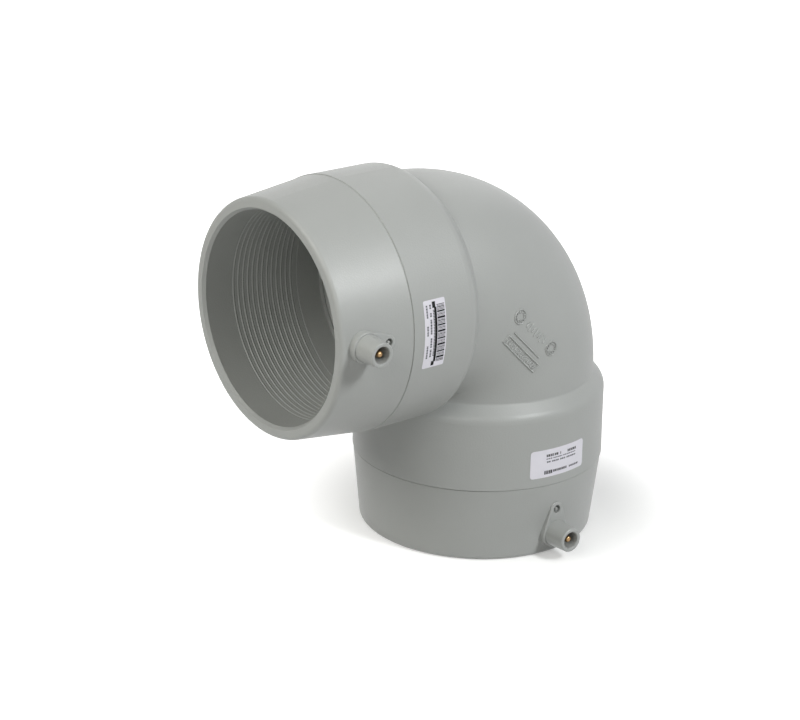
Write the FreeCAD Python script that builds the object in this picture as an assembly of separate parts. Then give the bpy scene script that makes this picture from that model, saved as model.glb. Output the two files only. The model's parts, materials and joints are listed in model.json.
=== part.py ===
# Electrofusion elbow: 90 degree bend with a fusion socket at each end.
# Frame in millimetres: the origin is the centre of the lower socket's mouth, which stands on z = 0.
# The lower socket's axis is +Z, the upper socket opens towards -X, and the terminals face -Y.
# The two sockets mirror each other in the plane that halves the bend.
import FreeCAD, Part
import math
import os
from FreeCAD import Vector

# Pipe and bore
pipe_diameter = 125.0
pipe_wall = 10.0
pipe_clearance = 0.4
insertion_depth = 83.5
entry_chamfer_depth = 1.9
entry_chamfer_width = 1.5

# Outside of a socket, each depth counted from its mouth
mouth_wall = 7.35
mouth_rounding = 3.0
taper_length = 47.0
socket_wall = 12.85
socket_draft = 0.5
seam_groove_width = 0.7
seam_groove_depth = 0.35
shoulder_length = 7.5
shoulder_top_rounding = 8.0
shoulder_foot_rounding = 1.5
neck_length = 0.8

# Bend
bend_wall = 16.0
throat_length = 16.5
crotch_radius = 7.5

# Pipe stop and the funnel behind it
stop_height = 3.5
stop_groove_width = 0.6
stop_groove_depth = 1.0
funnel_length = 7.5

# Heating wire, wound just under the skin of each bore
wire_diameter = 1.0
wire_cover = 0.25
wire_clearance = 0.02
coil_pitch = 3.45
coil_full_turns = 13
coil_start_depth = 19.67
lead_angle = 20.0
lead_run = 8.0
lead_bend = 1.5
lead_depth = 2.85
link_rise = 4.0
ridge_height = 0.25
ridge_width = 1.3
ridge_crest = 0.5
coil_end_gap = 1.2
coil_end_groove_width = 0.6
coil_end_groove_depth = 0.2

# Terminal: brass pin in a moulded shroud on a flat pad, a little beside the socket's axis
lower_terminal_offset = 1.0
upper_terminal_offset = 3.5
terminal_depth = 14.15
terminal_pin_diameter = 4.0
terminal_pin_recess = 1.5
terminal_root_diameter = 5.0
terminal_root_length = 6.0
terminal_tip_chamfer = 0.5
shroud_tip_diameter = 14.6
shroud_draft = 0.7
shroud_bore_diameter = 10.1
shroud_bore_depth = 14.0
shroud_height = 13.9
shroud_edge_chamfer = 0.4
pad_height = 3.15
pad_radius = 9.2
pad_edge_rounding = 0.8

# Fusion indicator: a pin on a foot at the bottom of a blind hole in the same pad
indicator_spacing = 15.35
indicator_hole_diameter = 5.0
indicator_pin_diameter = 2.0
indicator_foot_height = 1.5
indicator_recess = 0.2
indicator_clearance = 0.05
indicator_floor = 2.85
indicator_land = 2.0

# Film labels, placed from the seam, with angles from -Y towards the outside of the bend
label_thickness = 0.15
lower_label_gap = 5.45
lower_label_width = 17.5
lower_label_from = -15.3
lower_label_to = 15.8
lower_label_corner = 2.0
upper_label_gap = 7.15
upper_label_width = 15.5
upper_label_from = -14.0
upper_label_to = 16.8
upper_label_corner = 1.0

# Radii and places that follow
bore_radius = pipe_diameter / 2 + pipe_clearance
wall_radius = bore_radius + ridge_height
mouth_radius = wall_radius + mouth_wall
socket_radius = wall_radius + socket_wall
bend_bore_radius = pipe_diameter / 2 - pipe_wall
bend_outer_radius = bend_bore_radius + bend_wall
bend_radius = bend_bore_radius + crotch_radius
arc_start = insertion_depth + throat_length
laying_length = arc_start + bend_radius
shoulder_end = arc_start - neck_length
shoulder_start = shoulder_end - shoulder_length
taper_end_radius = socket_radius - seam_groove_depth
sleeve_start = taper_length + seam_groove_width / 2
wire_radius = wire_diameter / 2
coil_radius = wall_radius + wire_cover + wire_radius
lead_radius = wall_radius + lead_depth
coil_turns = coil_full_turns + (180 - 2 * lead_angle) / 360
coil_end_depth = coil_start_depth + coil_turns * coil_pitch
coil_end_angle = lead_angle + 360 * coil_turns
link_angle = coil_end_angle + lead_angle
indicator_depth = terminal_depth + indicator_spacing
indicator_pad_radius = indicator_hole_diameter / 2 + indicator_land
reach = 4 * laying_length

OUT = Vector(0, -1, 0)


def taper_radius(depth):
    """Outer radius of the tapered part of a socket at a depth from its mouth."""
    return mouth_radius + (taper_end_radius - mouth_radius) * depth / taper_length


def sleeve_radius(depth):
    """Outer radius of a socket between the seam and the shoulder."""
    share = (depth - sleeve_start) / (shoulder_start - sleeve_start)
    return socket_radius - socket_draft * share


pad_plane = taper_radius(terminal_depth) + pad_height
shroud_tip = pad_plane + shroud_height
shroud_floor = shroud_tip - shroud_bore_depth
terminal_root_end = shroud_floor - terminal_root_length
indicator_hole_floor = wall_radius + indicator_floor


def rounded_face(corners):
    """Face in the XZ plane from (x, z, rounding) corners, with arcs at the rounded ones."""
    points = [Vector(x, 0, z) for x, z, r in corners]
    count = len(points)
    starts = []
    ends = []
    edges = []
    for i, (x, z, rounding) in enumerate(corners):
        here = points[i]
        back = (points[i - 1] - here).normalize()
        ahead = (points[(i + 1) % count] - here).normalize()
        if rounding == 0:
            starts.append(here)
            ends.append(here)
            edges.append(None)
            continue
        half = back.getAngle(ahead) / 2
        tangent = rounding / math.tan(half)
        centre = here + (back + ahead).normalize() * (rounding / math.sin(half))
        middle = centre + (here - centre).normalize() * rounding
        starts.append(here + back * tangent)
        ends.append(here + ahead * tangent)
        edges.append(Part.Arc(starts[i], middle, ends[i]).toShape())
    outline = []
    for i in range(count):
        if edges[i]:
            outline.append(edges[i])
        following = starts[(i + 1) % count]
        outline.append(Part.LineSegment(ends[i], following).toShape())
    return Part.Face(Part.Wire(outline))


def turned(corners):
    """Solid turned about Z from (radius, depth, rounding) corners."""
    return rounded_face(corners).revolve(Vector(0, 0, 0), Vector(0, 0, 1), 360)


def rod(radius, start, end):
    """Round bar from one point to another."""
    return Part.makeCylinder(radius, (end - start).Length, start, end - start)


def at(radius, depth, angle=0.0):
    """Point at a radius and depth of the lower socket, at an angle from -Y towards +X."""
    turn = math.radians(angle)
    return Vector(radius * math.sin(turn), -radius * math.cos(turn), depth)


def beside(out, depth, offset):
    """Point of a terminal: its distance out and depth in the lower socket, and its offset along +X."""
    return Vector(offset, -out, depth)


def mirrored(shape):
    """The same shape on the upper socket."""
    return shape.mirror(Vector(0, 0, laying_length), Vector(1, 0, -1))


def swept(path, section, frenet=False):
    """Solid that a closed section leaves along a path."""
    sweep = Part.BRepOffsetAPI.MakePipeShell(path)
    sweep.setFrenetMode(frenet)
    sweep.add(section)
    sweep.build()
    sweep.makeSolid()
    return sweep.shape()


def wound(section):
    """Section at (x = coil radius, z = start depth) swept along the coil's turns."""
    helix = Part.makeHelix(coil_pitch, coil_turns * coil_pitch, coil_radius)
    helix.translate(Vector(0, 0, coil_start_depth))
    solid = swept(helix, section, frenet=True)
    solid.rotate(Vector(0, 0, 0), Vector(0, 0, 1), lead_angle - 90)
    return solid


def coil_direction(angle):
    """Direction in which the coil runs at an angle from -Y."""
    turn = math.radians(angle)
    rise = coil_pitch / (2 * math.pi * coil_radius)
    return Vector(math.cos(turn), math.sin(turn), rise).normalize()


def bent_route(points, bend):
    """Edges of a route with straight runs and an arc of one radius at each inner point."""
    edges = []
    start = points[0]
    for before, corner, after in zip(points, points[1:], points[2:]):
        back = (before - corner).normalize()
        ahead = (after - corner).normalize()
        half = back.getAngle(ahead) / 2
        tangent = bend / math.tan(half)
        centre = corner + (back + ahead).normalize() * (bend / math.sin(half))
        middle = centre + (corner - centre).normalize() * bend
        edges.append(Part.LineSegment(start, corner + back * tangent).toShape())
        start = corner + ahead * tangent
        edges.append(Part.Arc(corner + back * tangent, middle, start).toShape())
    edges.append(Part.LineSegment(start, points[-1]).toShape())
    return edges


def socket_outside():
    groove_start = taper_length - seam_groove_width / 2
    return turned([
        (0, 0, 0),
        (mouth_radius, 0, mouth_rounding),
        (taper_radius(groove_start), groove_start, 0),
        (taper_end_radius - seam_groove_depth, taper_length, 0),
        (socket_radius, sleeve_start, 0),
        (socket_radius - socket_draft, shoulder_start, shoulder_top_rounding),
        (bend_outer_radius, shoulder_end, shoulder_foot_rounding),
        (bend_outer_radius, arc_start, 0),
        (0, arc_start, 0),
    ])


def socket_inside():
    stop_radius = wall_radius - stop_height
    groove_top = stop_radius + stop_groove_width
    coil_groove = coil_end_depth + coil_end_gap
    return turned([
        (0, -1, 0),
        (wall_radius + entry_chamfer_width, -1, 0),
        (wall_radius + entry_chamfer_width, 0, 0),
        (wall_radius, entry_chamfer_depth, 0),
        (wall_radius, coil_groove - coil_end_groove_width / 2, 0),
        (wall_radius + coil_end_groove_depth, coil_groove, 0),
        (wall_radius, coil_groove + coil_end_groove_width / 2, 0),
        (wall_radius, insertion_depth, 0),
        (groove_top, insertion_depth, 0),
        (groove_top, insertion_depth + stop_groove_depth, 0),
        (stop_radius, insertion_depth + stop_groove_depth, 0),
        (bend_bore_radius, insertion_depth + stop_groove_depth + funnel_length, 0),
        (bend_bore_radius, arc_start, 0),
        (0, arc_start, 0),
    ])


def half_bend(radius):
    """The first half of the bend, as a solid round bar, without the part beyond the bend's axis."""
    disc = Part.Face(Part.Wire(Part.makeCircle(radius, Vector(0, 0, arc_start), Vector(0, 0, 1))))
    ahead = Part.makeBox(reach, reach, reach, Vector(-bend_radius, -reach / 2, arc_start - reach / 2))
    disc = disc.common(ahead).Faces[0]
    return disc.revolve(Vector(-bend_radius, 0, arc_start), Vector(0, -1, 0), 45)


def lower_half_space():
    """Everything on the lower socket's side of the mirror plane."""
    block = Part.makeBox(reach, reach, reach, Vector(-reach / 2, -reach / 2, -reach))
    block.rotate(Vector(0, 0, 0), Vector(0, 1, 0), -45)
    block.translate(Vector(0, 0, laying_length))
    return block


def pad(offset):
    """Flat-topped pad under the terminal, drawn in to a rounded nose round the indicator."""
    lean = math.asin((pad_radius - indicator_pad_radius) / indicator_spacing)
    across = math.cos(lean)
    along = math.sin(lean)
    centre = beside(0, terminal_depth, offset)
    nose = beside(0, indicator_depth, offset)
    to_side = Vector(across, 0, along)
    from_side = Vector(-across, 0, along)
    big = [
        centre + to_side * pad_radius,
        centre + Vector(0, 0, -pad_radius),
        centre + from_side * pad_radius,
    ]
    small = [
        nose + from_side * indicator_pad_radius,
        nose + Vector(0, 0, indicator_pad_radius),
        nose + to_side * indicator_pad_radius,
    ]
    outline = Part.Wire([
        Part.Arc(*big).toShape(),
        Part.LineSegment(big[2], small[0]).toShape(),
        Part.Arc(*small).toShape(),
        Part.LineSegment(small[2], big[0]).toShape(),
    ])
    face = Part.Face(outline)
    face.translate(OUT * lead_radius)
    solid = face.extrude(OUT * (pad_plane - lead_radius))
    top = [e for e in solid.Edges if e.BoundBox.YMax < -pad_plane + 1e-3]
    return solid.makeFillet(pad_edge_rounding, top)


def shroud(offset):
    tip = shroud_tip_diameter / 2
    root = tip + shroud_draft
    barrel = Part.makeCone(root, tip, shroud_height, beside(pad_plane, terminal_depth, offset), OUT)
    rim = [e for e in barrel.Edges if e.BoundBox.YMax < -shroud_tip + 1e-3]
    return barrel.makeChamfer(shroud_edge_chamfer, rim)


def shroud_hollow(offset):
    radius = shroud_bore_diameter / 2
    tip = beside(shroud_tip, terminal_depth, offset)
    bore = rod(radius, beside(shroud_floor, terminal_depth, offset), tip)
    wide = radius + shroud_edge_chamfer
    mouth = Part.makeCone(radius, wide, shroud_edge_chamfer, tip - OUT * shroud_edge_chamfer, OUT)
    return bore.fuse(mouth)


def terminal_pin(offset, clearance=0.0):
    """Brass pin whose thicker root is moulded into the wall, or the hollow that it leaves there."""
    foot = beside(shroud_floor, terminal_depth, offset)
    root_radius = terminal_root_diameter / 2 + clearance
    root = rod(root_radius, beside(terminal_root_end, terminal_depth, offset), foot)
    if clearance:
        return root
    tip = shroud_tip - terminal_pin_recess
    stem = rod(terminal_pin_diameter / 2, foot, beside(tip, terminal_depth, offset))
    end = [e for e in stem.Edges if e.BoundBox.YMax < -tip + 1e-3]
    return root.fuse(stem.makeChamfer(terminal_tip_chamfer, end)).removeSplitter()


def indicator_hole(offset):
    start = beside(indicator_hole_floor, indicator_depth, offset)
    return rod(indicator_hole_diameter / 2, start, beside(pad_plane + 1, indicator_depth, offset))


def fusion_indicator(offset):
    start = beside(indicator_hole_floor, indicator_depth, offset)
    foot_end = start + OUT * indicator_foot_height
    foot = rod(indicator_hole_diameter / 2 - indicator_clearance, start, foot_end)
    tip = beside(pad_plane - indicator_recess, indicator_depth, offset)
    stem = rod(indicator_pin_diameter / 2, foot_end, tip)
    return foot.fuse(stem).removeSplitter()


def coil_section(radius, corners_only=False):
    """Section square to the start of the coil: eight arcs of a circle, or the square round it."""
    centre = Vector(coil_radius, 0, coil_start_depth)
    across = Vector(1, 0, 0)
    upright = across.cross(coil_direction(90))
    if corners_only:
        signs = ((-1, -1), (1, -1), (1, 1), (-1, 1), (-1, -1))
        return Part.makePolygon([centre + (across * x + upright * y) * radius for x, y in signs])
    turns = [math.radians(22.5 * step) for step in range(17)]
    rim = [centre + (across * math.cos(turn) + upright * math.sin(turn)) * radius for turn in turns]
    return Part.Wire([Part.Arc(*rim[i:i + 3]).toShape() for i in range(0, 16, 2)])


def half_wire(offset, clearance=0.0):
    """Heating wire from one terminal to the middle of the bend: lead, coil and half of the link."""
    radius = wire_radius + clearance
    first = at(coil_radius, coil_start_depth, lead_angle)
    last = at(coil_radius, coil_end_depth, coil_end_angle)
    coil = wound(coil_section(radius, corners_only=clearance > 0))
    lead_route = [
        beside(terminal_root_end, terminal_depth, offset),
        beside(lead_radius, terminal_depth, offset),
        first - coil_direction(lead_angle) * lead_run,
        first,
    ]
    lead_section = Part.Wire(Part.makeCircle(radius, lead_route[0], OUT))
    lead = swept(Part.Wire(bent_route(lead_route, lead_bend)), lead_section)
    link_top = at(lead_radius, arc_start, link_angle)
    link_route = [
        last,
        last + coil_direction(coil_end_angle) * lead_run,
        at(lead_radius, coil_end_depth + link_rise, link_angle),
        link_top,
    ]
    centre = Vector(-bend_radius, link_top.y, arc_start)
    spoke = (link_top - centre).Length
    quarter = [
        centre + Vector(math.cos(math.radians(turn)), 0, math.sin(math.radians(turn))) * spoke
        for turn in (0, 22.5, 45)
    ]
    link_path = Part.Wire(bent_route(link_route, lead_bend) + [Part.Arc(*quarter).toShape()])
    link_section = Part.Wire(Part.makeCircle(radius, last, coil_direction(coil_end_angle)))
    return coil.fuse([lead, swept(link_path, link_section)])


def coil_ribs():
    """Low ribs that the wire raises on the skin of the bore, one for each full turn."""
    base = wall_radius + wire_cover
    flank = (ridge_width - ridge_crest) / 2
    half_crest = ridge_crest / 2
    half_base = half_crest + flank * (ridge_height + wire_cover) / ridge_height
    ribs = []
    for turn in range(coil_full_turns):
        depth = coil_start_depth + (turn + 0.5) * coil_pitch
        ribs.append(turned([
            (base, depth - half_base, 0),
            (bore_radius, depth - half_crest, 0),
            (bore_radius, depth + half_crest, 0),
            (base, depth + half_base, 0),
        ]))
    return ribs


def half_body(offset):
    """Body on the lower socket's side of the mirror plane, with the terminal at an offset."""
    solid = socket_outside().fuse([half_bend(bend_outer_radius), pad(offset), shroud(offset)])
    solid = solid.cut([socket_inside(), half_bend(bend_bore_radius)])
    solid = solid.fuse(coil_ribs())
    solid = solid.cut([
        shroud_hollow(offset),
        terminal_pin(offset, wire_clearance),
        indicator_hole(offset),
        half_wire(offset, wire_clearance),
    ])
    return solid.common(lower_half_space())


def label(gap, width, angle_from, angle_to, corner):
    """Film label on the lower socket's sleeve, at a gap from the seam."""
    start = sleeve_start + gap
    end = start + width
    face = Part.Face(Part.makePolygon([
        Vector(sleeve_radius(start), 0, start),
        Vector(sleeve_radius(start) + label_thickness, 0, start),
        Vector(sleeve_radius(end) + label_thickness, 0, end),
        Vector(sleeve_radius(end), 0, end),
        Vector(sleeve_radius(start), 0, start),
    ]))
    solid = face.revolve(Vector(0, 0, 0), Vector(0, 0, 1), angle_to - angle_from)
    solid.rotate(Vector(0, 0, 0), Vector(0, 0, 1), angle_from - 90)
    short = [e for e in solid.Edges if e.Length < 2 * label_thickness]
    return solid.makeFillet(corner, short)


lower_body = half_body(lower_terminal_offset)
lower_wire = half_wire(lower_terminal_offset)
nodes = {
    "elbow_body": lower_body.fuse(mirrored(half_body(upper_terminal_offset))),
    "heating_wire": lower_wire.fuse(mirrored(half_wire(upper_terminal_offset))),
    "lower_terminal_pin": terminal_pin(lower_terminal_offset),
    "upper_terminal_pin": mirrored(terminal_pin(upper_terminal_offset)),
    "lower_fusion_indicator": fusion_indicator(lower_terminal_offset),
    "upper_fusion_indicator": mirrored(fusion_indicator(upper_terminal_offset)),
    "lower_label": label(lower_label_gap, lower_label_width, lower_label_from,
                         lower_label_to, lower_label_corner),
    "upper_label": mirrored(label(upper_label_gap, upper_label_width, upper_label_from,
                                  upper_label_to, upper_label_corner)),
}

os.makedirs("parts", exist_ok=True)
for name, shape in nodes.items():
    print(name, shape.ShapeType, len(shape.Solids), shape.isValid(), round(shape.Volume, 2))
    shape.exportStep("parts/" + name + ".step")
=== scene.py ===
# Electrofusion elbow: grey moulded polypropylene, brass terminal pins, printed film labels.
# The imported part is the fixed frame, in metres: the lower socket stands on z = 0 and opens downwards,
# the upper one opens towards -X, and the terminals, indicators and labels face -Y.
import json
import math

import bmesh
import bpy
from mathutils import Matrix, Vector


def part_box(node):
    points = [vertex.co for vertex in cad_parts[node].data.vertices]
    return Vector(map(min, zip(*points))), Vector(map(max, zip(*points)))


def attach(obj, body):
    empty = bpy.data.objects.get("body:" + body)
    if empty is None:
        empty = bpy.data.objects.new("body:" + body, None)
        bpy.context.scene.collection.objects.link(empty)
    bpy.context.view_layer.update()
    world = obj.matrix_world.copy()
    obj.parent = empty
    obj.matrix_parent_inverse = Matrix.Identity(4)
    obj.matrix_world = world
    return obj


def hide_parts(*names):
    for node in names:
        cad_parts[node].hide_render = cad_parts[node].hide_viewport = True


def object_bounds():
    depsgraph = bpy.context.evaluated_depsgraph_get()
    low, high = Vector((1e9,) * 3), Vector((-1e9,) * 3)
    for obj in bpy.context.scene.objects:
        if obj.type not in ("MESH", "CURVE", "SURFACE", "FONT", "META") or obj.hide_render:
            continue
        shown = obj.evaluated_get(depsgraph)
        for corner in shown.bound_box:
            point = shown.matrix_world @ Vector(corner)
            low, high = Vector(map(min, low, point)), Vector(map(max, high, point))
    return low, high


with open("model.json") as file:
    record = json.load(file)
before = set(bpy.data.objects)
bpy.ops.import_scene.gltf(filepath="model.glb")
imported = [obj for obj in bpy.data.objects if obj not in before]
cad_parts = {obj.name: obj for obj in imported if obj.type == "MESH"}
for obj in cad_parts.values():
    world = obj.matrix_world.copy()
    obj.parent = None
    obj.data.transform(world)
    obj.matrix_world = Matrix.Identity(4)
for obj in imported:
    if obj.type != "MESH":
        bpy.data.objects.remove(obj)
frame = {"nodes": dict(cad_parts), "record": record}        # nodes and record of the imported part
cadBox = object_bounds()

mm = 0.001
plainWhite = (1, 1, 1, 1)
nodes = frame["nodes"]
mounts = {mount["name"]: mount for mount in frame["record"]["mounts"]}
layingLength = mounts["upper_socket"]["pos_m"][2]   # from either mouth to the point where the axes cross
print("frame loaded:", len(nodes), "nodes")


# Small tools

def linearColour(hexText):
    values = []
    for start in (1, 3, 5):
        level = int(hexText[start:start + 2], 16) / 255
        values.append(level / 12.92 if level <= 0.04045 else ((level + 0.055) / 1.055) ** 2.4)
    return (*values, 1.0)


def addNode(tree, kind, settings=None, links=None):
    node = tree.nodes.new(kind)
    for name, value in (settings or {}).items():
        if isinstance(name, int) or name in node.inputs:
            node.inputs[name].default_value = value
        else:
            setattr(node, name, value)
    for name, source in (links or {}).items():
        tree.links.new(source, node.inputs[name])
    return node


def emptyTree(owner):
    owner.use_nodes = True
    owner.node_tree.nodes.clear()
    return owner.node_tree


def newMaterial(name, settings):
    material = bpy.data.materials.new(name)
    tree = emptyTree(material)
    shader = addNode(tree, "ShaderNodeBsdfPrincipled", settings)
    addNode(tree, "ShaderNodeOutputMaterial", links={"Surface": shader.outputs["BSDF"]})
    return material, tree, shader


def driftingColour(tree, shader, finish):
    # Lets the base colour drift between a finish's two shades. Returns the place and the pattern.
    place = addNode(tree, "ShaderNodeTexCoord").outputs["Object"]
    drift = addNode(tree, "ShaderNodeTexNoise", {
        "Scale": 1 / (finish["driftSize"] * mm), "Detail": finish["driftDetail"]}, {"Vector": place})
    colour = addNode(tree, "ShaderNodeMix", {
        "data_type": "RGBA", 6: linearColour(finish["shade"]), 7: linearColour(finish["colour"])},
        {0: drift.outputs["Fac"]})
    tree.links.new(colour.outputs[2], shader.inputs["Base Color"])
    return place, drift.outputs["Fac"]


def dress(node, material):
    node.data.materials.clear()
    node.data.materials.append(material)


def meshPiece(name, bm, materials, sharpAngle, node=None):
    # Turns a built mesh into a piece of the elbow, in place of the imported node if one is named.
    bmesh.ops.recalc_face_normals(bm, faces=bm.faces)
    mesh = bpy.data.meshes.new(name)
    bm.to_mesh(mesh)
    bm.free()
    for material in materials:
        mesh.materials.append(material)
    piece = bpy.data.objects.new(name, mesh)
    bpy.context.scene.collection.objects.link(piece)
    mesh.shade_smooth()
    mesh.set_sharp_from_angle(angle=math.radians(sharpAngle))
    if node:
        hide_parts(node)
    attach(piece, "root")


def onSocket(side, radius, depth, angle):
    # A point of a socket: depth from its mouth, angle from -Y towards the outside of the bend.
    x, y = radius * math.sin(angle), -radius * math.cos(angle)
    if side == "lower":
        return Vector((x, y, depth))
    return Vector((depth - layingLength, y, x + layingLength))


def socketReading(side, point):
    # The other way round: radius, depth and angle of a point.
    x, y, z = point
    if side == "upper":
        x, z = z - layingLength, x + layingLength
    return math.hypot(x, y), z, math.atan2(x, -y)


# Camera

cameraView = {
    "azimuth": -38.74,       # degrees, turned from looking along +Y
    "elevation": 21.16,
    "roll": 1.78,
    "distance": 1.833,       # m
    "target": (-0.06207, 0.0, 0.11416),
    "lens": 139.4,           # mm
    "sensorWidth": 36,       # mm
}


def fromMiddle(azimuth, elevation):
    # Direction from the object towards a place round it.
    turn, rise = math.radians(azimuth), math.radians(elevation)
    return Vector((math.sin(turn) * math.cos(rise), -math.cos(turn) * math.cos(rise), math.sin(rise)))


def addCamera(view):
    azimuth, roll = math.radians(view["azimuth"]), math.radians(view["roll"])
    back = fromMiddle(view["azimuth"], view["elevation"])
    level = Vector((math.cos(azimuth), math.sin(azimuth), 0))
    upright = back.cross(level)
    right = level * math.cos(roll) + upright * math.sin(roll)
    axes = Matrix((right, back.cross(right), back)).transposed()
    place = Vector(view["target"]) + back * view["distance"]
    camera = bpy.data.objects.new("camera", bpy.data.cameras.new("camera"))
    camera.data.sensor_width = view["sensorWidth"]
    camera.data.lens = view["lens"]
    camera.matrix_world = Matrix.Translation(place) @ axes.to_4x4()
    bpy.context.scene.collection.objects.link(camera)
    bpy.context.scene.camera = camera


addCamera(cameraView)
print("camera placed")


# Floor, backdrop and lamps

studio = {
    "floorSize": 8.0,            # m
    "floorColour": "#dadad9",
    "floorShade": "#dcdcdb",
    "floorMottle": 20.0,         # mm, faint cloudiness of the paper
    "floorDetail": 2.0,
    # The glow fades towards the base, so the floor there is painted a shade darker, on top of the rendered shadow.
    "glowNear": 0.29,            # glow for the camera, weak round the base so that its soft shadow shows
    "glowFar": 1.0,              # and full farther out, so that the open floor reads as white
    "glowCentre": (20, 0, 0),    # mm
    "glowFrom": 60,              # mm from that centre
    "glowTo": 165,
    "skyStrength": 0.0,          # the world is seen and mirrored, but the lamps alone light matt faces
    "lampDistance": 1.9,         # m from the middle of the elbow
}
lamps = {
    # each is a square softbox aimed at the elbow, the left and top ones a shade warmer than the front ones;
    # azimuth is 0 at -Y and 90 at +X, in degrees
    "keyBox": {"azimuth": 15, "elevation": 38, "size": 0.35, "watts": 20.8, "colour": "#fcfeff"},
    "highBox": {"azimuth": 30, "elevation": 55, "size": 0.5, "watts": 4, "colour": "#fcfeff"},
    "sideBox": {"azimuth": -105, "elevation": 35, "size": 0.9, "watts": 15.5, "colour": "#fffef8"},
    "fillBox": {"azimuth": -60, "elevation": 36, "size": 0.9, "watts": 8.2, "colour": "#fffef8"},
    "backBox": {"azimuth": 120, "elevation": 35, "size": 0.9, "watts": 2.2, "colour": "#ffffff"},
    "rearBox": {"azimuth": 141, "elevation": 8, "size": 1.4, "watts": 3, "colour": "#ffffff"},
    "topBox": {"azimuth": 0, "elevation": 88, "size": 1.2, "watts": 1.5, "colour": "#fffff8"},
}


def seenOrMirrored(tree):
    # Two switches: 1 for camera rays, and 1 for rays that a glossy or clear surface sends on.
    path = addNode(tree, "ShaderNodeLightPath")
    mirrored = addNode(tree, "ShaderNodeMath", {"operation": "MAXIMUM"},
                       {0: path.outputs["Is Glossy Ray"], 1: path.outputs["Is Transmission Ray"]})
    return path.outputs["Is Camera Ray"], mirrored.outputs[0]


def addWorld(settings):
    # White to the camera and in mirrored rays, at the sky's strength for everything else.
    world = bpy.data.worlds.new("softStudio")
    bpy.context.scene.world = world
    tree = emptyTree(world)
    light = addNode(tree, "ShaderNodeBackground", {"Color": plainWhite, "Strength": settings["skyStrength"]})
    white = addNode(tree, "ShaderNodeBackground", {"Color": plainWhite, "Strength": 1.0})
    both = addNode(tree, "ShaderNodeMath", {"operation": "MAXIMUM"}, dict(enumerate(seenOrMirrored(tree))))
    mixed = addNode(tree, "ShaderNodeMixShader", links={
        0: both.outputs[0], 1: light.outputs[0], 2: white.outputs[0]})
    addNode(tree, "ShaderNodeOutputWorld", links={"Surface": mixed.outputs[0]})


def mattPaper(settings):
    # Paper that glows towards the camera, reads as white in mirrored rays and is plain for all other light.
    material = bpy.data.materials.new("paintedPaperFloor")
    tree = emptyTree(material)
    acrossFloor = settings["floorSize"] / (settings["floorMottle"] * mm)    # mottles from edge to edge
    grain = addNode(tree, "ShaderNodeTexNoise", {"Scale": acrossFloor, "Detail": settings["floorDetail"]})
    colour = addNode(tree, "ShaderNodeMix", {
        "data_type": "RGBA",
        6: linearColour(settings["floorColour"]), 7: linearColour(settings["floorShade"])},
        {0: grain.outputs["Fac"]})
    paper = addNode(tree, "ShaderNodeBsdfDiffuse", links={"Color": colour.outputs[2]})
    place = addNode(tree, "ShaderNodeTexCoord").outputs["Object"]
    away = addNode(tree, "ShaderNodeVectorMath", {
        "operation": "DISTANCE", 1: Vector(settings["glowCentre"]) * mm}, {0: place})
    # weaker glow near the base: painted shade round the elbow's foot
    strength = addNode(tree, "ShaderNodeMapRange", {
        "interpolation_type": "SMOOTHSTEP",
        "From Min": settings["glowFrom"] * mm, "From Max": settings["glowTo"] * mm,
        "To Min": settings["glowNear"], "To Max": settings["glowFar"]}, {"Value": away.outputs["Value"]})
    glow = addNode(tree, "ShaderNodeEmission", {"Color": plainWhite}, {"Strength": strength.outputs[0]})
    lit = addNode(tree, "ShaderNodeAddShader", links={0: paper.outputs[0], 1: glow.outputs[0]})
    white = addNode(tree, "ShaderNodeEmission", {"Color": plainWhite, "Strength": 1.0})
    seen, mirrored = seenOrMirrored(tree)
    unseen = addNode(tree, "ShaderNodeMixShader", links={
        0: mirrored, 1: paper.outputs[0], 2: white.outputs[0]})
    mixed = addNode(tree, "ShaderNodeMixShader", links={0: seen, 1: unseen.outputs[0], 2: lit.outputs[0]})
    addNode(tree, "ShaderNodeOutputMaterial", links={"Surface": mixed.outputs[0]})
    return material


def addFloor(settings):
    material = mattPaper(settings)
    bm = bmesh.new()
    half = settings["floorSize"] / 2
    bm.faces.new([bm.verts.new((x * half, y * half, 0)) for x, y in ((-1, -1), (1, -1), (1, 1), (-1, 1))])
    mesh = bpy.data.meshes.new("floor")
    bm.to_mesh(mesh)
    bm.free()
    mesh.materials.append(material)
    floor = bpy.data.objects.new("floor", mesh)
    bpy.context.scene.collection.objects.link(floor)


def addLamps(settings, lampSettings):
    middle = (cadBox[0] + cadBox[1]) / 2
    for name, lamp in lampSettings.items():
        light = bpy.data.lights.new(name, "AREA")
        light.size = lamp["size"]
        light.energy = lamp["watts"]
        light.color = linearColour(lamp["colour"])[:3]
        holder = bpy.data.objects.new(name, light)
        towards = fromMiddle(lamp["azimuth"], lamp["elevation"])
        holder.location = middle + towards * settings["lampDistance"]
        holder.rotation_mode = "QUATERNION"
        holder.rotation_quaternion = towards.to_track_quat("Z", "Y")
        bpy.context.scene.collection.objects.link(holder)


addWorld(studio)
addFloor(studio)
addLamps(studio, lamps)
bpy.context.scene.view_settings.view_transform = "Standard"
print("studio lit")


# Body: polypropylene moulded in a spark-eroded tool, so a satin face with a fine even grain

polypropyleneIor = 1.49
bodyFinish = {
    "colour": "#a7a9a7",
    "shade": "#a1a3a1",          # faint flow shades, a few centimetres across
    "driftSize": 35.0,           # mm
    "driftDetail": 3.0,
    "grainSize": 0.9,            # mm; the real grain is guessed at 0.2, drawn coarser so that it shows
    "grainDepth": 0.12,          # mm
    "grainDetail": 4.0,
    "grainLow": 0.3,             # most of the grain pattern's values lie between these two
    "grainHigh": 0.7,
    "roughLow": 0.34,
    "roughHigh": 0.46,
    "rippleSize": 9.0,           # mm, slow unevenness of the moulded wall
    "rippleDepth": 0.03,         # mm
    "rippleDetail": 1.0,
}


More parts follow.
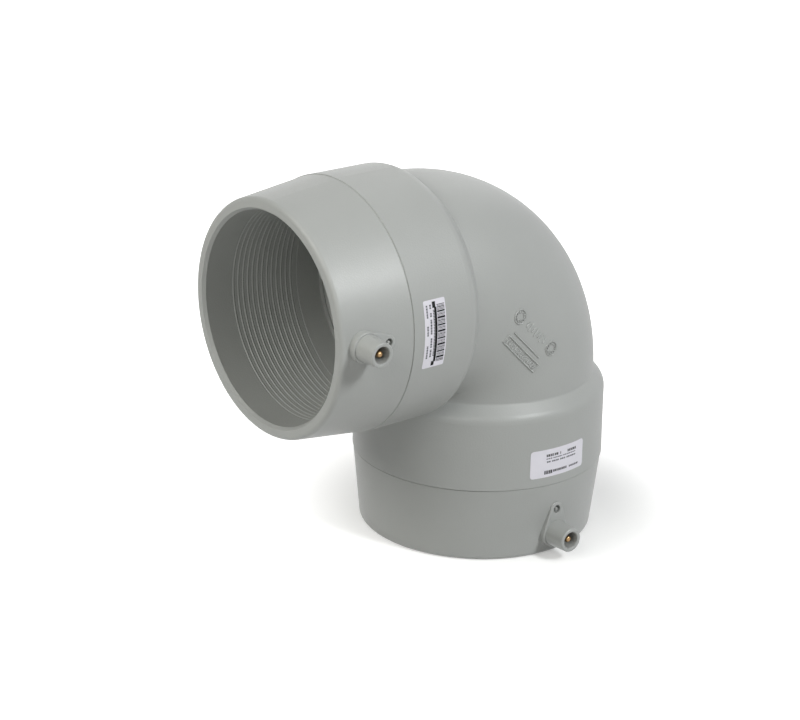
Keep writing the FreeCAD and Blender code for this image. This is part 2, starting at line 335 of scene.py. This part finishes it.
def mouldedPolypropylene(finish):
    material, tree, shader = newMaterial("mouldedPolypropylene", {"IOR": polypropyleneIor, "Metallic": 0.0})
    place = driftingColour(tree, shader, finish)[0]
    grain = addNode(tree, "ShaderNodeTexNoise", {
        "Scale": 1 / (finish["grainSize"] * mm), "Detail": finish["grainDetail"]}, {"Vector": place})
    rough = addNode(tree, "ShaderNodeMapRange", {
        "From Min": finish["grainLow"], "From Max": finish["grainHigh"],
        "To Min": finish["roughLow"], "To Max": finish["roughHigh"]}, {"Value": grain.outputs["Fac"]})
    tree.links.new(rough.outputs[0], shader.inputs["Roughness"])
    ripple = addNode(tree, "ShaderNodeTexNoise", {
        "Scale": 1 / (finish["rippleSize"] * mm), "Detail": finish["rippleDetail"]}, {"Vector": place})
    slow = addNode(tree, "ShaderNodeBump", {"Strength": 1.0, "Distance": finish["rippleDepth"] * mm},
                   {"Height": ripple.outputs["Fac"]})
    fine = addNode(tree, "ShaderNodeBump", {"Strength": 1.0, "Distance": finish["grainDepth"] * mm},
                   {"Height": grain.outputs["Fac"], "Normal": slow.outputs["Normal"]})
    tree.links.new(fine.outputs["Normal"], shader.inputs["Normal"])
    return material


bodyPlastic = mouldedPolypropylene(bodyFinish)
dress(nodes["elbow_body"], bodyPlastic)
print("body finished")


# Heating wire: drawn copper-nickel, a pinkish metal, hidden in the wall from lead to lead

wireFinish = {
    "colour": "#c08f6c",
    "shade": "#a97a5a",
    "driftSize": 0.05,           # mm, fine unevenness left by the die
    "driftDetail": 2.0,
    "roughness": 0.3,
}


def drawnCopperNickel(finish):
    material, tree, shader = newMaterial("drawnCopperNickel", {
        "Metallic": 1.0, "Roughness": finish["roughness"]})
    driftingColour(tree, shader, finish)
    return material


dress(nodes["heating_wire"], drawnCopperNickel(wireFinish))
print("wire finished")


# Turned pieces: a profile of (distance out along the axis, radius) spun about the -Y axis

def spun(bm, centre, profile, steps):
    rings = []
    for out, radius in profile:
        if radius == 0:
            rings.append([bm.verts.new((centre.x, -out, centre.z))])
            continue
        ring = []
        for step in range(steps):
            turn = 2 * math.pi * step / steps
            ring.append(bm.verts.new((centre.x + radius * math.cos(turn), -out,
                                      centre.z + radius * math.sin(turn))))
        rings.append(ring)
    for first, second in zip(rings, rings[1:]):
        for step in range(steps):
            following = (step + 1) % steps
            corners = [first[step % len(first)], first[following % len(first)],
                       second[following % len(second)], second[step % len(second)]]
            bm.faces.new(list(dict.fromkeys(corners)))


def roundedEdge(out, radius, rounding, steps=6):
    # Profile points of a convex edge between a barrel of that radius and an end face at that distance.
    points = []
    for step in range(steps + 1):
        turn = math.pi / 2 * step / steps
        points.append((out - rounding + rounding * math.sin(turn),
                       radius - rounding + rounding * math.cos(turn)))
    return points


# Terminal pins: turned brass, the tip rounded over

pinShape = {
    "tipRounding": 1.7,          # mm
    "tipDimple": 0.12,           # mm, depth of the centre mark left by the parting tool
    "dimpleRadius": 0.25,        # mm
    "rootRounding": 0.2,         # mm
    "steps": 64,
    "sharpAngle": 35,            # degrees; edges that turn by more than this stay crisp
}
pinFinish = {
    "colour": "#cfb088",
    "shade": "#85602f",          # dark brown patches at random: partly tarnish, partly painted shade in the tone of the tip's dark reflections
    "driftSize": 1.4,            # mm
    "driftDetail": 4.0,
    "roughness": 0.3,
    "ringPitch": 0.12,           # mm; real turning marks are about 0.05, drawn coarser so that they show
    "ringDepth": 0.004,          # mm
}
waveFactor = 0.314               # a wave pattern repeats every 0.314 / scale metres


def turnedBrass(finish):
    # Bright, a little soft in its reflections, with rings left by the lathe.
    material, tree, shader = newMaterial("turnedBrass", {"Metallic": 1.0, "Roughness": finish["roughness"]})
    # the darker brown patches are partly painted shade, a shaded copy of the brass
    place = driftingColour(tree, shader, finish)[0]
    rings = addNode(tree, "ShaderNodeTexWave", {
        "wave_type": "BANDS", "bands_direction": "Y", "Scale": waveFactor / (finish["ringPitch"] * mm)},
        {"Vector": place})
    bump = addNode(tree, "ShaderNodeBump", {"Strength": 1.0, "Distance": finish["ringDepth"] * mm},
                   {"Height": rings.outputs["Fac"]})
    tree.links.new(bump.outputs["Normal"], shader.inputs["Normal"])
    return material


def terminalPin(side, shape, material):
    node = side + "_terminal_pin"
    mount = mounts[side + "_terminal"]
    low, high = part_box(node)
    root, tip = -high.y, -low.y
    rootRadius = (high.x - low.x) / 2
    stemRadius = mount["dims"]["r_mm"] * mm
    stemFoot = -mount["pos_m"][1]
    profile = [(root, 0), (root, rootRadius)]
    profile += roundedEdge(stemFoot, rootRadius, shape["rootRounding"] * mm)
    profile += [(stemFoot, stemRadius)]
    profile += roundedEdge(tip, stemRadius, shape["tipRounding"] * mm)
    profile += [(tip, shape["dimpleRadius"] * mm), (tip - shape["tipDimple"] * mm, 0)]
    bm = bmesh.new()
    spun(bm, (low + high) / 2, profile, shape["steps"])
    meshPiece(side + "TerminalPin", bm, [material], shape["sharpAngle"], node)


brass = turnedBrass(pinFinish)
for side in ("lower", "upper"):
    terminalPin(side, pinShape, brass)
print("terminal pins turned")


# Fusion indicators: grey pins that rise in their wells when the joint is welded

indicatorShape = {
    "stemRadius": 1.0,           # mm
    "footHeight": 1.5,           # mm
    "footRounding": 0.2,         # mm
    "tipRounding": 0.35,         # mm
    "crown": 0.15,               # mm that the middle of the tip stands above its edge
    "crownSteps": 4,
    "steps": 48,
    "sharpAngle": 35,            # degrees
}
indicatorFinish = {
    "colour": "#a5a7a4",
    "shade": "#9a9c99",
    "driftSize": 2.0,            # mm
    "driftDetail": 3.0,
    "roughness": 0.5,
    "unevenness": 0.01,          # mm
}


def lightPolypropylene(finish):
    # Small moulding in the body's own grey, with a smooth tool face and no grain.
    material, tree, shader = newMaterial("lightPolypropylene", {
        "IOR": polypropyleneIor, "Roughness": finish["roughness"]})
    flow = driftingColour(tree, shader, finish)[1]
    bump = addNode(tree, "ShaderNodeBump", {"Strength": 1.0, "Distance": finish["unevenness"] * mm},
                   {"Height": flow})
    tree.links.new(bump.outputs["Normal"], shader.inputs["Normal"])
    return material


def fusionIndicator(side, shape, material):
    node = side + "_fusion_indicator"
    low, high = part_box(node)
    foot, tip = -high.y, -low.y
    footRadius = (high.x - low.x) / 2
    footTop = foot + shape["footHeight"] * mm
    stemRadius, crown = shape["stemRadius"] * mm, shape["crown"] * mm
    profile = [(foot, 0), (foot, footRadius)]
    profile += roundedEdge(footTop, footRadius, shape["footRounding"] * mm)
    profile += [(footTop, stemRadius)]
    profile += roundedEdge(tip - crown, stemRadius, shape["tipRounding"] * mm)
    flat = profile[-1][1]
    for step in range(1, shape["crownSteps"] + 1):
        radius = flat * (1 - step / shape["crownSteps"])
        profile.append((tip - crown * (radius / flat) ** 2, radius))
    bm = bmesh.new()
    spun(bm, (low + high) / 2, profile, shape["steps"])
    meshPiece(side + "FusionIndicator", bm, [material], shape["sharpAngle"], node)


indicatorPlastic = lightPolypropylene(indicatorFinish)
for side in ("lower", "upper"):
    fusionIndicator(side, indicatorShape, indicatorPlastic)
print("indicators placed")


# Labels: film with rounded corners, printed with plain bars and dashes

filmFinish = {
    "colour": "#e0dee6",
    "shade": "#d8d6de",
    "driftSize": 6.0,            # mm
    "driftDetail": 2.0,
    "roughness": 0.34,
    "unevenness": 0.02,          # mm
}
inkFinish = {
    "thinned": "#55555b",        # where a pinhole thins the ink
    "pinholeSize": 0.3,          # mm
    "pinholeDetail": 2.0,
    "thinFrom": 0.62,            # value of the pattern at which the ink begins to thin
    "thinTo": 0.85,              # and at which it is thinnest
    "ior": 1.5,
    "specular": 0.2,
    "roughness": 0.6,
}
labelShape = {
    "corner": {"upper": 1.0, "lower": 2.0},   # mm
    "facet": 0.8,                # mm, about the length of one facet round the socket
    "cornerSteps": 6,
    "edgeBand": 0.1,             # mm from either end, within which the film's radii are read
    "leastGap": 0.02,            # mm, lines nearer than this are joined
    "weldGap": 0.002,            # mm, points nearer than this are joined
    "sharpAngle": 40,            # degrees
}


def printedFilm(finish):
    # White polypropylene film with a satin coat.
    material, tree, shader = newMaterial("whiteFilm", {
        "IOR": polypropyleneIor, "Roughness": finish["roughness"]})
    mottle = driftingColour(tree, shader, finish)[1]
    bump = addNode(tree, "ShaderNodeBump", {"Strength": 1.0, "Distance": finish["unevenness"] * mm},
                   {"Height": mottle})
    tree.links.new(bump.outputs["Normal"], shader.inputs["Normal"])
    return material


def transferInk(name, hexText, finish):
    # Thermal transfer ink: dense, much duller than the film, with pinholes.
    material, tree, shader = newMaterial(name, {
        "IOR": finish["ior"], "Specular IOR Level": finish["specular"], "Roughness": finish["roughness"]})
    place = addNode(tree, "ShaderNodeTexCoord").outputs["Object"]
    pinholes = addNode(tree, "ShaderNodeTexNoise", {
        "Scale": 1 / (finish["pinholeSize"] * mm), "Detail": finish["pinholeDetail"]}, {"Vector": place})
    share = addNode(tree, "ShaderNodeMapRange", {
        "From Min": finish["thinFrom"], "From Max": finish["thinTo"]}, {"Value": pinholes.outputs["Fac"]})
    colour = addNode(tree, "ShaderNodeMix", {
        "data_type": "RGBA", 6: linearColour(hexText), 7: linearColour(finish["thinned"])},
        {0: share.outputs[0]})
    tree.links.new(colour.outputs[2], shader.inputs["Base Color"])
    return material


labelMaterials = [
    printedFilm(filmFinish),
    transferInk("blackInk", "#08080a", inkFinish),
    transferInk("greyInk", "#3e3f47", inkFinish),
]
black, grey = 1, 2               # places of the inks in that list

# Bar and gap widths in mm, turn by turn
codeBars = (0.35, 0.35, 0.5, 0.3, 0.3, 0.4, 1.2, 0.35, 0.3,
            0.4, 0.4, 0.35, 0.3, 0.45, 0.95, 0.35, 0.35, 0.35)
combBars = (0.55, 0.35)
dashStrokes = (0.75, 0.2, 0.4, 0.2, 0.9, 0.3, 0.3, 0.2)


def barRow(start, end, across, pattern, ink):
    # Bars side by side round the socket; the pattern is repeated to the end.
    cells = []
    place, index = start, 0
    while place < end:
        width = pattern[index % len(pattern)]
        if index % 2 == 0:
            cells.append((across[0], across[1], place, min(place + width, end), ink))
        place += width
        index += 1
    return cells


def dashRow(dashes, across, ink):
    # A row of dashes, each a run of short upright strokes.
    cells = []
    for start, end in dashes:
        cells += barRow(start, end, across, dashStrokes, ink)
    return cells


def cutLines(half, corner, marks, shape):
    # Lines over a label in one direction: its edges, those that round its corners and those round the print.
    lines = {-half, half} | {mark * mm for mark in marks}
    for step in range(1, shape["cornerSteps"] + 1):
        inset = corner * (1 - math.cos(math.pi / 2 * step / shape["cornerSteps"]))
        lines |= {half - inset, inset - half}
    return lines


def thinned(lines, leastGap):
    kept = []
    for value in sorted(lines):
        if not kept or value - kept[-1] > leastGap:
            kept.append(value)
    kept[-1] = max(lines)
    return kept


def labelPiece(side, shape, cells):
    # cells are printed rectangles: depth from, depth to, run from, run to (mm from the label's centre), ink
    node = side + "_label"
    readings = [socketReading(side, v.co) for v in nodes[node].data.vertices]
    depths = [depth for radius, depth, angle in readings]
    angles = [angle for radius, depth, angle in readings]
    nearMouth, farEnd = min(depths), max(depths)
    band = shape["edgeBand"] * mm
    radiiStart = [radius for radius, depth, angle in readings if depth < nearMouth + band]
    radiiEnd = [radius for radius, depth, angle in readings if depth > farEnd - band]
    outerStart, outerEnd = max(radiiStart), max(radiiEnd)
    thickness = outerStart - min(radiiStart)
    middleDepth, middleAngle = (nearMouth + farEnd) / 2, (min(angles) + max(angles)) / 2
    halfWide = (farEnd - nearMouth) / 2
    halfRun = (max(angles) - min(angles)) / 2 * outerStart
    corner = shape["corner"][side] * mm
    core = halfWide - corner

    acrossLines = cutLines(halfWide, corner, [edge for cell in cells for edge in cell[0:2]], shape)
    runLines = cutLines(halfRun, corner, [edge for cell in cells for edge in cell[2:4]], shape)
    steps = int(2 * halfRun / (shape["facet"] * mm))
    runLines |= {halfRun * (2 * step / steps - 1) for step in range(1, steps)}
    across = thinned(acrossLines, shape["leastGap"] * mm)
    run = thinned(runLines, shape["leastGap"] * mm)

    def placed(a, r, lift):
        # Draws the outer columns in where the corners are rounded, and wraps the film on the socket.
        inset = max(0.0, corner - (halfRun - abs(r)))
        limit = core + math.sqrt(max(corner * corner - inset * inset, 0.0))
        if abs(a) > core:
            a = math.copysign(core + (abs(a) - core) * (limit - core) / corner, a)
        share = (a + halfWide) / (2 * halfWide)
        radius = outerStart + (outerEnd - outerStart) * share - thickness + lift
        return onSocket(side, radius, middleDepth + a, middleAngle + r / outerStart)

    bm = bmesh.new()
    top = [[bm.verts.new(placed(a, r, thickness)) for r in run] for a in across]
    under = [[bm.verts.new(placed(a, r, 0.0)) for r in run] for a in across]
    for i in range(len(across) - 1):
        for j in range(len(run) - 1):
            a, r = (across[i] + across[i + 1]) / 2 / mm, (run[j] + run[j + 1]) / 2 / mm
            face = bm.faces.new([top[i][j], top[i + 1][j], top[i + 1][j + 1], top[i][j + 1]])
            for a0, a1, r0, r1, ink in cells:
                if a0 <= a <= a1 and r0 <= r <= r1:
                    face.material_index = ink
            bm.faces.new([under[i][j], under[i][j + 1], under[i + 1][j + 1], under[i + 1][j]])
    for line in (0, len(across) - 1):
        for j in range(len(run) - 1):
            bm.faces.new([top[line][j], top[line][j + 1], under[line][j + 1], under[line][j]])
    for line in (0, len(run) - 1):
        for i in range(len(across) - 1):
            bm.faces.new([top[i][line], top[i + 1][line], under[i + 1][line], under[i][line]])
    bmesh.ops.remove_doubles(bm, verts=bm.verts, dist=shape["weldGap"] * mm)
    meshPiece(side + "Label", bm, labelMaterials, shape["sharpAngle"], node)


upperCells = barRow(-17.2, 17.2, (1.5, 7.0), codeBars, black)
upperCells += barRow(-13.0, 14.5, (-1.5, -0.5), combBars, black)
upperCells += [(-0.5, 1.2, -17.0, 16.0, black), (-1.6, 0.7, 15.6, 19.2, black),
               (-1.7, 0.4, -19.3, -16.4, black)]
upperCells += dashRow(((-14.0, -5.9), (-0.1, 5.9), (10.4, 17.7)), (-6.2, -5.1), grey)
upperCells += dashRow(((-13.4, -8.5), (-7.5, -1.5), (0.6, 9.2), (10.8, 13.0), (15.4, 17.8)),
                      (-3.7, -2.5), grey)
labelPiece("upper", labelShape, upperCells)

lowerCells = dashRow(((-9.8, -4.5), (-3.9, -1.0), (0.4, 0.9), (6.3, 13.8)), (4.0, 5.6), black)
lowerCells += dashRow(((-9.8, -5.5), (-4.8, 2.0), (2.8, 13.2)), (2.4, 3.1), grey)
lowerCells += dashRow(((-9.4, -6.5), (-5.7, -0.5), (0.5, 4.6), (5.6, 13.6)), (0.3, 1.3), grey)
lowerCells += dashRow(((-11.0, -5.0),), (-6.9, -4.6), black)
lowerCells += dashRow(((-4.6, 5.9),), (-6.3, -4.8), black)
lowerCells += dashRow(((8.0, 16.2),), (-6.2, -5.0), grey)
labelPiece("lower", labelShape, lowerCells)
print("labels printed")


# Moulded marks on the side of the bend: two plain dials, a rule and a framed scale, in low relief.
# Places are (along, out): along runs down the diagonal of the bend, out is the distance from its centre.

markShape = {
    "bendCentre": (-60.0, 100.0),   # x and z; every length here is in mm
    "bendRadius": 60.0,
    "tubeRadius": 68.5,
    "stroke": 0.8,
    "height": 0.75,
    "sink": 0.12,                   # how far the foot of a ridge reaches into the wall
    "foot": 1.25,                   # half widths of a ridge, as shares of half the stroke
    "shoulder": 0.75,
    "crown": 0.3,
    "shoulderRise": 0.8,            # share of the height
    "mitreLimit": 0.6,              # keeps sharp turns of a ridge from growing too wide
    "rowOut": 61.5,                 # row of the dials and the rule
    "dialPlaces": (-17.5, 17.5),
    "dialRadius": 4.2,
    "dialTicks": 12,
    "tickFrom": 2.4,
    "tickTo": 3.3,
    "ruleStart": -9.0,
    "rulePitch": 3.0,
    "ruleStrokes": 7,
    "ruleShort": 1.6,               # half lengths of the rule's strokes, in turn
    "ruleLong": 2.6,
    "lineOut": 52.3,
    "lineHalf": 13.8,
    "frameLow": (-16.0, 44.0),
    "frameHigh": (17.5, 49.0),
    "scaleStart": -13.8,
    "scalePitch": 2.25,
    "scaleStrokes": 14,
    "scaleTop": 47.7,
    "scaleFoot": 45.4,
    "scaleLongFoot": 45.0,          # of every third stroke
    "sharpAngle": 50,               # degrees
}


def markPoint(shape, along, out, lift):
    x, z = (out + along) / math.sqrt(2), (out - along) / math.sqrt(2)
    away = math.hypot(x, z) - shape["bendRadius"]
    y = -math.sqrt(shape["tubeRadius"] ** 2 - away ** 2)
    across = away / shape["tubeRadius"]
    spoke = math.hypot(x, z)
    normal = Vector((x / spoke * across, y / shape["tubeRadius"], z / spoke * across))
    surface = Vector((shape["bendCentre"][0] + x, y, shape["bendCentre"][1] + z))
    return (surface + normal * lift) * mm


def reliefLine(bm, shape, points, closed=False):
    # A low rounded ridge that follows the points of an (along, out) line.
    half = shape["stroke"] / 2
    flank = [(half * shape["foot"], -shape["sink"]),
             (half * shape["shoulder"], shape["height"] * shape["shoulderRise"]),
             (half * shape["crown"], shape["height"])]
    section = [(-a, h) for a, h in flank] + flank[::-1]
    count = len(points)
    rings = []
    for index, (along, out) in enumerate(points):
        before = points[index - 1] if closed or index > 0 else points[index]
        after = points[(index + 1) % count] if closed or index < count - 1 else points[index]
        direction = Vector((after[0] - before[0], after[1] - before[1])).normalized()
        side = Vector((-direction.y, direction.x))
        incoming = Vector((along - before[0], out - before[1]))
        widen = 1.0
        if incoming.length > 0 and direction.length > 0:
            widen = 1 / max(shape["mitreLimit"], incoming.normalized().dot(direction))
        rings.append([bm.verts.new(markPoint(shape, along + side.x * a * widen, out + side.y * a * widen, h))
                      for a, h in section])
    pairs = list(zip(rings, rings[1:] + rings[:1])) if closed else list(zip(rings, rings[1:]))
    for first, second in pairs:
        for k in range(len(section)):
            following = (k + 1) % len(section)
            bm.faces.new([first[k], first[following], second[following], second[k]])
    if not closed:
        bm.faces.new(rings[0])
        bm.faces.new(list(reversed(rings[-1])))


def straight(start, end, step=1.5):
    length = math.dist(start, end)
    count = max(1, round(length / step))
    return [(start[0] + (end[0] - start[0]) * k / count, start[1] + (end[1] - start[1]) * k / count)
            for k in range(count + 1)]


def circle(centre, radius, count=40):
    return [(centre[0] + radius * math.cos(2 * math.pi * k / count),
             centre[1] + radius * math.sin(2 * math.pi * k / count)) for k in range(count)]


def mouldedMarks(shape, material):
    bm = bmesh.new()
    row = shape["rowOut"]
    for along in shape["dialPlaces"]:
        reliefLine(bm, shape, circle((along, row), shape["dialRadius"]), closed=True)
        for k in range(shape["dialTicks"]):
            turn = math.radians(360 / shape["dialTicks"] * k)
            inner, outer = [(along + math.cos(turn) * reach, row + math.sin(turn) * reach)
                            for reach in (shape["tickFrom"], shape["tickTo"])]
            reliefLine(bm, shape, straight(inner, outer))
    for k in range(shape["ruleStrokes"]):
        along = shape["ruleStart"] + shape["rulePitch"] * k
        reach = shape["ruleLong"] if k % 2 else shape["ruleShort"]
        reliefLine(bm, shape, straight((along, row - reach), (along, row + reach)))
    lineHalf, lineOut = shape["lineHalf"], shape["lineOut"]
    reliefLine(bm, shape, straight((-lineHalf, lineOut), (lineHalf, lineOut)))
    (left, low), (right, high) = shape["frameLow"], shape["frameHigh"]
    corners = [(left, low), (right, low), (right, high), (left, high)]
    frameLine = []
    for start, end in zip(corners, corners[1:] + corners[:1]):
        frameLine += straight(start, end)[:-1]
    reliefLine(bm, shape, frameLine, closed=True)
    for k in range(shape["scaleStrokes"]):
        along = shape["scaleStart"] + shape["scalePitch"] * k
        foot = shape["scaleFoot"] if k % 3 else shape["scaleLongFoot"]
        reliefLine(bm, shape, straight((along, foot), (along, shape["scaleTop"])))
    meshPiece("mouldedMarks", bm, [material], shape["sharpAngle"])


mouldedMarks(markShape, bodyPlastic)
print("marks raised")


# Last: bring the scene up to date

bpy.context.view_layer.update()
